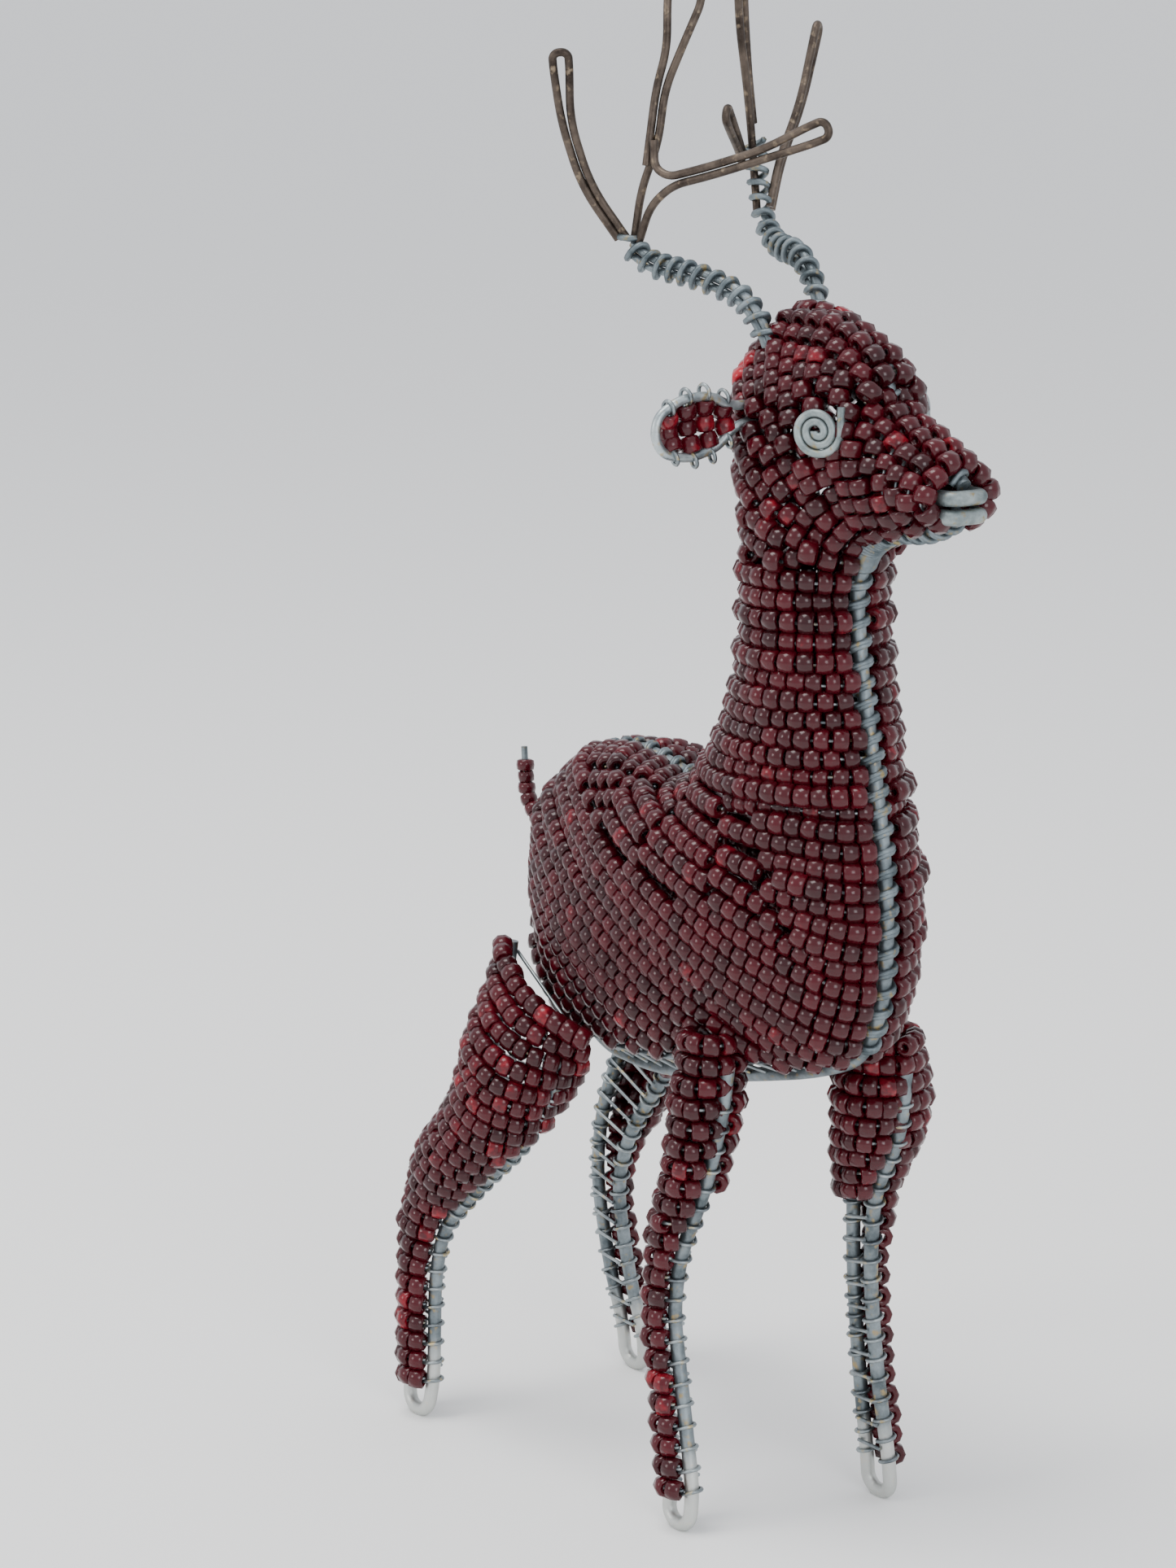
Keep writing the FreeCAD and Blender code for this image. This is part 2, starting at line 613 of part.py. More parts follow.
# ---- eyes: flat spirals of wire on the cheeks, with a short tail ----------------------------------------

for side, side_name in SIDES:
    centre = crown_point(14.6, side * 8.3, 145.2)
    normal = Vector(0.55, side * 0.83, 0.05).normalize()
    level = UP.cross(normal).normalize()
    upright = normal.cross(level).normalize()
    step = (size("eye_wire") + size("wire_clearance")) / 2
    radius = size("eye_wire") * 0.62
    edges = []
    turns = int(size("eye_radius") / step) - 1
    sign = 1 if turns % 2 == 0 else -1
    hub = centre
    for n in range(turns):
        reach = level * (sign * radius)
        spots = [hub + reach, hub + upright * (sign * radius), hub - reach]
        edges.append(Part.Arc(*spots).toShape())
        hub = hub + level * (sign * step)
        sign = -sign
        radius += step
    end = spots[2]
    edges.append(Part.LineSegment(end, end + upright * size("eye_tail")).toShape())
    add("%s_eye_spiral" % side_name, round_bar(Part.Wire(edges), size("eye_wire")))


# ---- nose, crown ring and tail --------------------------------------------------------------------------

nose = crown_point(29.3, 0, 137.3)
staples = []
for level in (-1, 1):
    z = Vector(0, 0, level * (size("nose_wire") + size("nose_gap")) / 2)
    reach, half = Vector(size("nose_depth"), 0, 0), Vector(0, size("nose_width") / 2, 0)
    corners = [nose - half, nose - half + reach, nose + half + reach, nose + half]
    staples.append(round_bar(rounded_path([corner + z for corner in corners]), size("nose_wire")))
add("nose_wire", staples)

ring = doc.addObject("Part::Torus", "left_antler_bead_ring")
ring.setExpression("Radius1", "Sizes.crown_ring_radius")
ring.setExpression("Radius2", "Sizes.bead_diameter / 2")
ring.Placement = Placement(crown_point(-0.4, 4.9, 157.2), Rotation(UP, Vector(0.0, 0.35, 1.0)))
ring.Label = "left_antler_bead_ring"
pieces.append(ring)

tail_root = frame_at(top_path, station(top_points, top_path, 18.4))[0]
tail_line = [(-1.6, 0.6), (-5.0, 0.9), (-7.6, 3.4), (-8.3, 10.6)]
tail_share = size("tail_length") / 13.0
tail_path = rounded_path([tail_root + Vector(x * tail_share, 0, z * tail_share) for x, z in tail_line])
add("tail_wire", round_bar(tail_path, size("tail_wire")))
sleeve_points = [spot[0] for spot in along(tail_path, 2.4, 1.0, tail_path.Length - size("tail_tip"))]
sleeve_path = rounded_path(sleeve_points)
bore = round_bar(sleeve_path, size("tail_wire") + 2 * size("wire_clearance"))
add("tail_beads", round_bar(sleeve_path, size("tail_bead")).cut(bore))


# ---- the origin: under the middle of the stag, on the surface that it stands on ---------------------------

doc.recompute()
bounds = Part.makeCompound([part.Shape for part in pieces]).optimalBoundingBox(False, False)
origin_shift = Vector(-(bounds.XMin + bounds.XMax) / 2, -(bounds.YMin + bounds.YMax) / 2, 0)
for part in pieces:
    place = part.Placement
    place.Base = place.Base + origin_shift
    part.Placement = place


# ---- check and write ---------------------------------------------------------------------------------

doc.recompute()
for part in pieces:
    if "Invalid" in part.State or "Error" in part.State:
        raise RuntimeError("%s failed: %s" % (part.Label, part.State))
    if part.Shape.isNull() or not part.Shape.isValid():
        raise RuntimeError("%s has no valid shape" % part.Label)
for part in pieces:
    part.Shape.exportStep("parts/%s.step" % part.Label)
    print(part.Label, len(part.Shape.Solids), round(part.Shape.Volume, 1))
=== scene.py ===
import bpy
import numpy as np
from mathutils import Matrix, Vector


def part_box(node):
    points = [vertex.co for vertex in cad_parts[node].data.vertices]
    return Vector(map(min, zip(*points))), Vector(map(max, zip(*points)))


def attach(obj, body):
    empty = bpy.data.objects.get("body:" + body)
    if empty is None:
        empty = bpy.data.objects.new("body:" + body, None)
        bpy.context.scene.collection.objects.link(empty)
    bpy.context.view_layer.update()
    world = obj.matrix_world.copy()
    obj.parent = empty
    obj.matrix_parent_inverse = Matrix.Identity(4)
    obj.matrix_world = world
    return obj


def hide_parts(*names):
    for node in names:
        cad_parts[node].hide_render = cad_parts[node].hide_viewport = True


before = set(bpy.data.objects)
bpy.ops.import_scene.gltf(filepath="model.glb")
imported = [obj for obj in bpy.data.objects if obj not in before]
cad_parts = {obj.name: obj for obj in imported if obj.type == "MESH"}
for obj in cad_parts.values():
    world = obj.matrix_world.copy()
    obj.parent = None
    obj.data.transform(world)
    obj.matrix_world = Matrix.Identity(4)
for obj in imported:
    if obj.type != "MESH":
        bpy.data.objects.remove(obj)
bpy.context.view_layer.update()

MM = 0.001
chance = np.random.default_rng(7)


# ---- the galvanised frame wires --------------------------------------------------------------------------
# Thick zinc-coated wire, bent by hand: one length runs from the nose over the crown and along the back, one
# from the chin down the chest and under the belly, and each leg is one long hairpin.

def wire_finish(name, dark, pale, glint_colour, gloss, bright_below=0.0):
    """Metal whose colour wanders between dark and pale over a few millimetres, with specks of painted
    yellowish glint (painted highlights), and is paler under a height above the ground, if that height is
    given."""
    finish = bpy.data.materials.new(name)
    finish.use_nodes = True
    nodes, links = finish.node_tree.nodes, finish.node_tree.links
    shader = nodes["Principled BSDF"]
    shader.inputs["Metallic"].default_value = 0.85
    where = nodes.new("ShaderNodeTexCoord")
    clouds = nodes.new("ShaderNodeTexNoise")
    clouds.inputs["Scale"].default_value = 260.0
    clouds.inputs["Detail"].default_value = 5.0
    clouds.inputs["Roughness"].default_value = 0.65
    links.new(where.outputs["Object"], clouds.inputs["Vector"])
    zinc = nodes.new("ShaderNodeValToRGB")
    zinc.color_ramp.elements[0].position = 0.34
    zinc.color_ramp.elements[0].color = (*dark, 1.0)
    zinc.color_ramp.elements[1].position = 0.62
    zinc.color_ramp.elements[1].color = (*pale, 1.0)
    links.new(clouds.outputs["Fac"], zinc.inputs["Fac"])
    specks = nodes.new("ShaderNodeTexNoise")
    specks.inputs["Scale"].default_value = 900.0
    specks.inputs["Detail"].default_value = 3.0
    links.new(where.outputs["Object"], specks.inputs["Vector"])
    # the specks are painted highlights: yellowish glints painted into the metal's colour
    glint_mask = nodes.new("ShaderNodeMapRange")
    glint_mask.inputs["From Min"].default_value = 0.58
    glint_mask.inputs["From Max"].default_value = 0.72
    links.new(specks.outputs["Fac"], glint_mask.inputs["Value"])
    glinted = nodes.new("ShaderNodeMix")
    glinted.data_type = "RGBA"
    glinted.inputs[7].default_value = (*glint_colour, 1.0)
    links.new(glint_mask.outputs["Result"], glinted.inputs[0])
    links.new(zinc.outputs["Color"], glinted.inputs[6])
    # below the given height the colour is mixed towards pale silver
    height = nodes.new("ShaderNodeSeparateXYZ")
    links.new(where.outputs["Object"], height.inputs["Vector"])
    low = nodes.new("ShaderNodeMapRange")
    low.inputs["From Min"].default_value = bright_below + 0.004
    low.inputs["From Max"].default_value = bright_below
    low.inputs["To Max"].default_value = 0.8 if bright_below else 0.0
    links.new(height.outputs["Z"], low.inputs["Value"])
    paler_low_mix = nodes.new("ShaderNodeMix")
    paler_low_mix.data_type = "RGBA"
    paler_low_mix.inputs[7].default_value = (0.62, 0.63, 0.60, 1.0)
    links.new(low.outputs["Result"], paler_low_mix.inputs[0])
    links.new(glinted.outputs[2], paler_low_mix.inputs[6])
    links.new(paler_low_mix.outputs[2], shader.inputs["Base Color"])
    worn = nodes.new("ShaderNodeMapRange")
    worn.inputs["To Min"].default_value = gloss
    worn.inputs["To Max"].default_value = gloss + 0.25
    links.new(clouds.outputs["Fac"], worn.inputs["Value"])
    links.new(worn.outputs["Result"], shader.inputs["Roughness"])
    scale = nodes.new("ShaderNodeBump")
    scale.inputs["Strength"].default_value = 0.5
    scale.inputs["Distance"].default_value = 0.00012
    links.new(specks.outputs["Fac"], scale.inputs["Height"])
    links.new(scale.outputs["Normal"], shader.inputs["Normal"])
    return finish


def paint_parts(finish, *names):
    """Gives a finish to CAD parts that are shown as they are."""
    for name in names:
        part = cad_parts[name]
        for holder in part.material_slots:
            holder.material = finish


# each finish's third colour is its painted glint, a yellowish highlight painted on specks
zinc_wire = wire_finish("galvanised_wire", (0.085, 0.105, 0.115), (0.25, 0.29, 0.31), (0.34, 0.26, 0.13),
                        0.36, bright_below=0.008)
paint_parts(zinc_wire, "nape_and_spine_wire", "throat_and_belly_wire", "right_belly_wire", "left_belly_wire",
            "front_right_leg_wire", "front_left_leg_wire", "hind_right_leg_wire", "hind_left_leg_wire")
thin_wire = wire_finish("binding_wire", (0.11, 0.13, 0.145), (0.34, 0.38, 0.39), (0.50, 0.40, 0.20), 0.30)
paint_parts(thin_wire, "right_belly_rungs", "left_belly_rungs", "front_right_leg_rungs",
            "front_left_leg_rungs", "hind_right_leg_rungs", "hind_left_leg_rungs")

# The middle of the ring of beads on the crown is this far ahead of the point between the front feet, and this
# far to its left.
RING_AHEAD, RING_LEFT = -0.4 * MM, 4.9 * MM
ring_low, ring_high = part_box("left_antler_bead_ring")
between_feet = np.array([(ring_low[0] + ring_high[0]) / 2 - RING_AHEAD,
                         (ring_low[1] + ring_high[1]) / 2 - RING_LEFT, 0])


# ---- the outline that the bead rows follow ---------------------------------------------------------------
# The same two lines as the frame wires: body points are shares of the body's length behind the chest and of
# its depth above the belly, neck and head points shares of their own length.

def body(back, up):
    return np.array([19.0 - 75.0 * back, 0.0, 60.0 + 39.0 * up]) * MM


def neck(ahead, up):
    return body(0.5, 0.95) + np.array([ahead, 0.0, up]) * 45.0 * MM


def head(ahead, up):
    return neck(0.0, 0.70) + np.array([ahead, 0.0, up]) * 40.0 * MM


def rounded(points, steps=7):
    """Straight runs with rounded corners.  Each inner corner becomes a parabola that begins and ends 0.45 of
    the shorter run away from it: (1-t)^2 of the one end, 2t(1-t) of the corner and t^2 of the other end."""
    p = np.asarray(points, float)
    into, out = p[1:-1] - p[:-2], p[2:] - p[1:-1]
    a, b = np.linalg.norm(into, axis=1), np.linalg.norm(out, axis=1)
    reach = 0.45 * np.minimum(a, b)
    start = p[1:-1] - into * (reach / a)[:, None]
    end = p[1:-1] + out * (reach / b)[:, None]
    t = np.linspace(0, 1, steps)[None, :, None]
    bends = (1 - t) ** 2 * start[:, None] + 2 * t * (1 - t) * p[1:-1][:, None] + t ** 2 * end[:, None]
    return np.vstack([p[:1], bends.reshape(-1, 3), p[-1:]])


def spots(line, distances):
    """The points at those distances along a line, and the unit directions of the line there."""
    steps = np.linalg.norm(np.diff(line, axis=0), axis=1)
    line, steps = line[np.r_[True, steps > 1e-9]], steps[steps > 1e-9]
    reached = np.r_[0, np.cumsum(steps)]
    distances = np.asarray(distances, float)
    here = np.stack([np.interp(distances, reached, line[:, k]) for k in range(3)], -1)
    small = 0.25 * MM
    low, high = np.clip(distances - small, 0, reached[-1]), np.clip(distances + small, 0, reached[-1])
    ahead = np.stack([np.interp(high, reached, line[:, k]) for k in range(3)], -1)
    way = ahead - np.stack([np.interp(low, reached, line[:, k]) for k in range(3)], -1)
    return here, way / np.linalg.norm(way, axis=-1, keepdims=True)


def length_of(line):
    return np.linalg.norm(np.diff(line, axis=0), axis=1).sum()


def reach_of(points, line, index):
    """The distance along the line of a whole or part-way index into the points that it was made from."""
    runs = np.r_[0, np.cumsum(np.linalg.norm(np.diff(points, axis=0), axis=1))]
    return np.interp(index, np.arange(len(runs)), runs) / runs[-1] * length_of(line)


top_points = np.array([
    head(1.250, 0.280), head(1.150, 0.350), head(1.020, 0.400), head(0.925, 0.475), head(0.880, 0.595),
    head(0.675, 0.690), head(0.445, 0.680), head(0.300, 0.590), head(0.290, 0.380), neck(0.325, 0.755),
    neck(0.318, 0.511), neck(0.275, 0.289), neck(0.165, 0.095), body(0.496, 0.905), body(0.573, 0.940),
    body(0.673, 0.978), body(0.780, 0.935), body(0.865, 0.810), body(0.925, 0.660), body(0.937, 0.500),
    body(0.930, 0.333)])
bottom_points = np.array([
    head(1.243, 0.190), head(1.113, 0.128), head(0.938, 0.113), head(0.825, 0.050), head(0.765, -0.088),
    neck(0.705, 0.400), neck(0.762, 0.156), body(0.012, 0.846), body(-0.001, 0.590), body(0.008, 0.346),
    body(0.057, 0.145), body(0.187, 0.045), body(0.413, -0.070), body(0.627, -0.140), body(0.787, -0.125),
    body(0.880, 0.020), body(0.930, 0.220)])
top_line, bottom_line = rounded(top_points), rounded(bottom_points)


# ---- the rows of beads on the head, neck and body --------------------------------------------------------
# Dark red glass seed beads, 3 mm across and 2.1 mm long, threaded on thin wire.  Each row runs as half an
# oval from the upper frame wire to the lower one, where its wire is wound round before the next row.

BEAD = 3.0 * MM
BEAD_LENGTH = 2.12 * MM
ROW_PITCH = 2.8 * MM
WIRE = 1.9 * MM
THIN = 0.5 * MM
ROW_END = WIRE / 2 + THIN + 0.08 * MM
# a bead is left off when its middle is nearer than this to one of the rows just before it
LEAST_ROOM = 0.70 * BEAD
ROWS_BACK = 10
SIDE_STEP = 20
FAR_AWAY = 9.0
# the beads are a little wider than their rows' spacing, so that the rows close up
BEAD_SHOWN = 3.08 * MM

# place on the upper wire, place on the lower wire, half width in mm, region of beads
KEY_ROWS = [
    (0.50, 0.35, 5.0, "muzzle"), (3.60, 2.30, 5.8, "head"), (6.20, 3.05, 7.6, "head"),
    (9.18, 3.36, 8.53, "neck"), (10.60, 5.14, 8.7, "neck"), (12.48, 6.55, 10.18, "shoulder"),
    (13.22, 7.50, 12.6, "shoulder"), (14.93, 8.53, 13.36, "flank"), (16.88, 10.28, 12.32, "belly"),
    (20.00, 14.25, 6.05, "end")]
key_top = np.array([reach_of(top_points, top_line, key[0]) for key in KEY_ROWS])
key_bottom = np.array([reach_of(bottom_points, bottom_line, key[1]) for key in KEY_ROWS])
key_width = np.array([key[2] for key in KEY_ROWS]) * MM


def smooth_between(values, at):
    """A curve through the values at 0, 1, 2 and so on: on each stretch a cubic whose slope at a value is half
    the difference of the values on either side of it."""
    i = np.minimum(int(at), len(values) - 2)
    t = at - i
    padded = np.r_[2 * values[0] - values[1], values, 2 * values[-1] - values[-2]]
    a, b, c, d = padded[i:i + 4]
    return b + ((c - a) * t + (2 * a - 5 * b + 4 * c - d) * t ** 2 + (3 * b - a - 3 * c + d) * t ** 3) / 2


def half_oval(start, end, half_width, side):
    """Half an oval out to one side, from start to end: a tight arc at each end and a wide arc between that is
    tangent to both.  The tight radius is the half width times (half width / half length)^0.6."""
    half_length = np.linalg.norm(end - start) / 2
    along, out = (end - start) / (2 * half_length), np.array([0.0, side, 0.0])
    tight = half_width * (half_width / half_length) ** 0.6
    if abs(tight - half_width) < 0.02 * half_width:
        turn = np.linspace(np.pi, 0, 60)
        x, y = half_width * np.cos(turn), half_width * np.sin(turn)
    else:
        wide = (half_length ** 2 + half_width ** 2 - 2 * half_length * tight) / (2 * (half_width - tight))
        ahead, up = half_length - tight, half_width - wide
        lean = np.arctan2(-up, -ahead) if wide > tight else np.arctan2(up, ahead)
        first, middle = np.linspace(np.pi, lean, 20), np.linspace(lean, np.pi - lean, 40)
        last = np.linspace(np.pi - lean, 0, 20)
        x = np.r_[tight * np.cos(first) - ahead, wide * np.cos(middle), tight * np.cos(last) + ahead]
        y = np.r_[tight * np.sin(first), wide * np.sin(middle) + up, tight * np.sin(last)]
    return (start + end) / 2 + x[:, None] * along + y[:, None] * out


def on_frame(line, distance):
    """A point of the middle plane, carried to the stag's place, and the direction of the wire there."""
    point, way = spots(line, [distance])
    return point[0] + between_feet, way[0]


rows = []
for n, key in enumerate(KEY_ROWS[:-1]):
    gap = max(key_top[n + 1] - key_top[n], key_bottom[n + 1] - key_bottom[n])
    count = max(1, int(np.ceil(gap / ROW_PITCH - 0.25)))
    for share in np.arange(count) / count:
        top = key_top[n] + share * (key_top[n + 1] - key_top[n])
        bottom = key_bottom[n] + share * (key_bottom[n + 1] - key_bottom[n])
        rows.append((top, bottom, smooth_between(key_width, n + share), key[3]))
brisket = reach_of(bottom_points, bottom_line, 10.0)
BELLY_GAP = 7.5 * MM

# On the forehead and muzzle the first beads of both sides ride over the frame wire and hide it.
covered = reach_of(top_points, top_line, 6.6)

beads = {"at": [], "way": [], "out": [], "row": [], "region": []}
threads, seam_ends = [], []
row_number = 0
for side, side_name in ((-1, "right"), (1, "left")):
    for top, bottom, half_width, region in rows:
        start, start_way = on_frame(top_line, top)
        end, end_way = on_frame(bottom_line, bottom)
        oval = half_oval(start, end, half_width, side)
        total = length_of(oval)
        short = BELLY_GAP * np.clip((bottom - brisket) / BELLY_GAP, 0, 1)
        last = total - max(ROW_END, short + 0.6 * MM)
        over = np.clip((covered - top) / (4.0 * MM), 0, 1)
        first = ROW_END * (1 - over)
        count = max(2, int((last - first) / BEAD_LENGTH))
        distances = first + (np.arange(count) + 0.5) * (last - first) / count
        at, way = spots(oval, distances)
        lift = 1.9 * MM * over * np.clip(1 - distances / (5.5 * MM), 0, 1) ** 1.3
        at = at + lift[:, None] * (start - end) / np.linalg.norm(start - end)
        out = np.cross(way, np.cross(end - start, [0.0, side, 0.0]))
        out /= np.linalg.norm(out, axis=1, keepdims=True)
        out *= np.sign((out * (at - (start + end) / 2)).sum(1))[:, None]
        # a bead that has no room beside the rows before it is left off
        if beads["at"]:
            oldest = row_number - ROWS_BACK
            recent = [a for a, r in zip(beads["at"], beads["row"]) if r.size and r[0] > oldest]
            recent = np.vstack(recent or [np.full((1, 3), FAR_AWAY)])
            room = np.linalg.norm(at[:, None] - recent[None], axis=2).min(1)
            keep = room > LEAST_ROOM
        else:
            keep = np.ones(len(at), bool)
        kept = np.nonzero(keep)[0]
        for run in np.split(kept, np.nonzero(np.diff(kept) > 1)[0] + 1):
            if len(run):
                low = ROW_END * 0.8 if run[0] == 0 else distances[run[0]] - 0.4 * BEAD_LENGTH
                high = last + 0.5 * MM if run[-1] == count - 1 else distances[run[-1]] + 0.4 * BEAD_LENGTH
                thread, _ = spots(oval, np.linspace(low, high, 40))
                threads.append((thread, np.cross(end - start, [0.0, side, 0.0])))
        at, way, out = at[keep], way[keep], out[keep]
        beads["at"].append(at)
        beads["way"].append(way)
        beads["out"].append(out)
        beads["row"].append(np.full(len(at), row_number))
        beads["region"].append(np.full(len(at), "%s_%s" % (side_name, region)))
        row_number += 1
        seam_ends.append((start, start_way, oval[6] - start, side, "spine"))
        if bottom <= brisket:
            seam_ends.append((end, end_way, oval[-7] - end, side, "chest"))
    row_number += SIDE_STEP

at, way, out = (np.vstack(beads[key]) for key in ("at", "way", "out"))
row, region = np.concatenate(beads["row"]), np.concatenate(beads["region"])


def settle(at, row, turns=30):
    """Beads of different rows that overlap push each other apart by half of the overlap, the moves are shared
    along each row so that it stays a smooth line, and each bead is drawn a little back to where it was."""
    home = at.copy()
    apart = np.linalg.norm(at[:, None] - at[None], axis=2)
    one, other = np.nonzero(np.triu(apart < 1.3 * BEAD, 1) & (row[:, None] != row[None]))
    before = np.r_[0, np.arange(len(at) - 1)]
    after = np.r_[np.arange(1, len(at)), len(at) - 1]
    before = np.where(row[before] == row, before, np.arange(len(at)))
    after = np.where(row[after] == row, after, np.arange(len(at)))
    for _ in range(turns):
        gap = at[one] - at[other]
        size = np.linalg.norm(gap, axis=1, keepdims=True) + 1e-9
        push = gap / size * np.maximum(0, 0.94 * BEAD - size) * 0.5
        move = np.zeros_like(at)
        np.add.at(move, one, push)
        np.add.at(move, other, -push)
        moved = at + 0.5 * move - home
        moved = 0.5 * moved + 0.25 * (moved[before] + moved[after])
        at = home + 0.97 * moved
    return at


at = settle(at, row)

# One bead: its outside from end to end as (share of half its length, share of its radius), then its bore.
BEAD_PROFILE = np.array([
    (-0.86, 0.34), (-1.0, 0.68), (-0.80, 0.93), (0.0, 1.0), (0.80, 0.93), (1.0, 0.68), (0.86, 0.34)])
BEAD_SIDES = 8


def thread_beads(name, at, way, out, width, length, finish, tone=None):
    """Beads in one mesh.  Each is its profile carried once round its own way: a point is its centre, plus the
    way times half the length times the first share, plus radius times the second share in a circle."""
    count = len(at)
    wide = width / 2 * (1 + 0.035 * chance.standard_normal(count))[:, None, None, None]
    long = length / 2 * (1 + 0.05 * chance.standard_normal(count))[:, None, None, None]
    way = way + 0.05 * chance.standard_normal(way.shape)
    way = way / np.linalg.norm(way, axis=1, keepdims=True)
    up = np.cross(way, out)
    up /= np.linalg.norm(up, axis=1, keepdims=True)
    aside = np.cross(up, way)
    turn = np.arange(BEAD_SIDES) / BEAD_SIDES * 2 * np.pi
    circle = np.cos(turn)[:, None] * aside[:, None] + np.sin(turn)[:, None] * up[:, None]
    points = at[:, None, None] + way[:, None, None] * long * BEAD_PROFILE[None, :, None, :1] \
        + circle[:, None] * wide * BEAD_PROFILE[None, :, None, 1:]
    rings, sides = len(BEAD_PROFILE), BEAD_SIDES
    i, j = np.meshgrid(np.arange(rings), np.arange(sides), indexing="ij")
    i2, j2 = (i + 1) % rings, (j + 1) % sides
    quad = np.stack([i * sides + j, i * sides + j2, i2 * sides + j2, i2 * sides + j], -1).reshape(-1, 4)
    quads = (quad[None] + np.arange(count)[:, None, None] * rings * sides).reshape(-1, 4)
    piece = make_mesh(name, points.reshape(-1, 3), quads, finish)
    tone = chance.random(count) if tone is None else tone
    shade = piece.data.attributes.new("tone", "FLOAT", "POINT")
    shade.data.foreach_set("value", np.repeat(tone, rings * sides).astype(np.float32))
    return piece


def make_mesh(name, points, quads, finish, caps=()):
    """A smooth-shaded piece from points, four-sided faces and end caps, riding on the stag."""
    mesh = bpy.data.meshes.new(name)
    mesh.from_pydata(points.tolist(), [], quads.tolist() + [list(cap) for cap in caps])
    mesh.polygons.foreach_set("use_smooth", np.ones(len(mesh.polygons), bool))
    mesh.materials.append(finish)
    mesh.update()
    piece = bpy.data.objects.new(name, mesh)
    bpy.context.scene.collection.objects.link(piece)
    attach(piece, "root")
    return piece


def bead_finish(name):
    """Dark red glass: each bead's own tone runs from nearly black to clear red, over fine streaks."""
    finish = bpy.data.materials.new(name)
    finish.use_nodes = True
    nodes, links = finish.node_tree.nodes, finish.node_tree.links
    shader = nodes["Principled BSDF"]
    shader.inputs["IOR"].default_value = 1.52
    shader.inputs["Transmission Weight"].default_value = 0.10
    shader.inputs["Specular IOR Level"].default_value = 0.30
    shader.inputs["Coat Weight"].default_value = 0.08
    shader.inputs["Coat Roughness"].default_value = 0.12
    own = nodes.new("ShaderNodeAttribute")
    own.attribute_name = "tone"
    where = nodes.new("ShaderNodeTexCoord")
    streaks = nodes.new("ShaderNodeTexNoise")
    streaks.inputs["Scale"].default_value = 700.0
    streaks.inputs["Detail"].default_value = 3.0
    links.new(where.outputs["Object"], streaks.inputs["Vector"])
    both = nodes.new("ShaderNodeMath")
    both.operation = "MULTIPLY_ADD"
    both.inputs[1].default_value = 0.35
    links.new(streaks.outputs["Fac"], both.inputs[0])
    scaled = nodes.new("ShaderNodeMath")
    scaled.operation = "MULTIPLY"
    scaled.inputs[1].default_value = 0.75
    links.new(own.outputs["Fac"], scaled.inputs[0])
    links.new(scaled.outputs["Value"], both.inputs[2])
    reds = nodes.new("ShaderNodeValToRGB")
    reds.color_ramp.elements[0].position = 0.05
    reds.color_ramp.elements[0].color = (0.018, 0.0005, 0.0020, 1.0)
    reds.color_ramp.elements[1].position = 1.0
    reds.color_ramp.elements[1].color = (0.44, 0.014, 0.028, 1.0)
    middle = reds.color_ramp.elements.new(0.80)
    middle.color = (0.072, 0.0012, 0.0062, 1.0)
    links.new(both.outputs["Value"], reds.inputs["Fac"])
    links.new(reds.outputs["Color"], shader.inputs["Base Color"])
    gloss = nodes.new("ShaderNodeMapRange")
    gloss.inputs["To Min"].default_value = 0.10
    gloss.inputs["To Max"].default_value = 0.34
    links.new(streaks.outputs["Fac"], gloss.inputs["Value"])
    links.new(gloss.outputs["Result"], shader.inputs["Roughness"])
    ripple = nodes.new("ShaderNodeBump")
    ripple.inputs["Strength"].default_value = 0.25
    ripple.inputs["Distance"].default_value = 0.0001
    links.new(streaks.outputs["Fac"], ripple.inputs["Height"])
    links.new(ripple.outputs["Normal"], shader.inputs["Normal"])
    return finish


red_glass = bead_finish("red_bead_glass")
tones = chance.random(len(at)) * 0.85
crown_back = between_feet + np.array([-6.5, -4.0, 151.0]) * MM
rump = between_feet + np.array([-34.0, -9.0, 92.0]) * MM
tones += 0.5 * np.exp(-((at - crown_back) ** 2).sum(1) / (4.0 * MM) ** 2)
tones += 0.3 * np.exp(-((at - rump) ** 2).sum(1) / (5.0 * MM) ** 2) * chance.random(len(at))
for name in sorted(set(region)):
    here = region == name
    piece = thread_beads(name + "_bead_rows", at[here], way[here], out[here], BEAD_SHOWN, BEAD_LENGTH,
                         red_glass, tones[here])
    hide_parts(name + "_beads")


# ---- the binding wire of those rows ----------------------------------------------------------------------
# Thin galvanised wire: it runs through the beads of a row, shows where a row is short of a frame wire, and
# is wound once round the frame wire, a little slanted, before the next row.

def sweep(name, lines, across, width, sides, finish):
    """Round wires in one mesh: a circle carried along each line, its first radius at right angles to the line
    and to that line's own across direction, with a flat face at each end."""
    lines = np.asarray(lines, float)
    count, steps = lines.shape[:2]
    way = np.gradient(lines, axis=1)
    way /= np.linalg.norm(way, axis=2, keepdims=True)
    first = np.cross(way, np.asarray(across, float)[:, None])
    first /= np.linalg.norm(first, axis=2, keepdims=True)
    second = np.cross(way, first)
    turn = np.arange(sides) / sides * 2 * np.pi
    circle = np.cos(turn)[:, None] * first[:, :, None] + np.sin(turn)[:, None] * second[:, :, None]
    points = lines[:, :, None] + circle * width / 2
    i, j = np.meshgrid(np.arange(steps - 1), np.arange(sides), indexing="ij")
    j2 = (j + 1) % sides
    quad = np.stack([i * sides + j, i * sides + j2, (i + 1) * sides + j2, (i + 1) * sides + j], -1)
    quad = quad.reshape(-1, 4)
    base = np.arange(count) * steps * sides
    quads = (quad[None] + base[:, None, None]).reshape(-1, 4)
    ring = np.arange(sides)
    caps = np.vstack([base[:, None] + ring[::-1], base[:, None] + (steps - 1) * sides + ring])
    return make_mesh(name, points.reshape(-1, 3), quads, finish, caps.tolist())


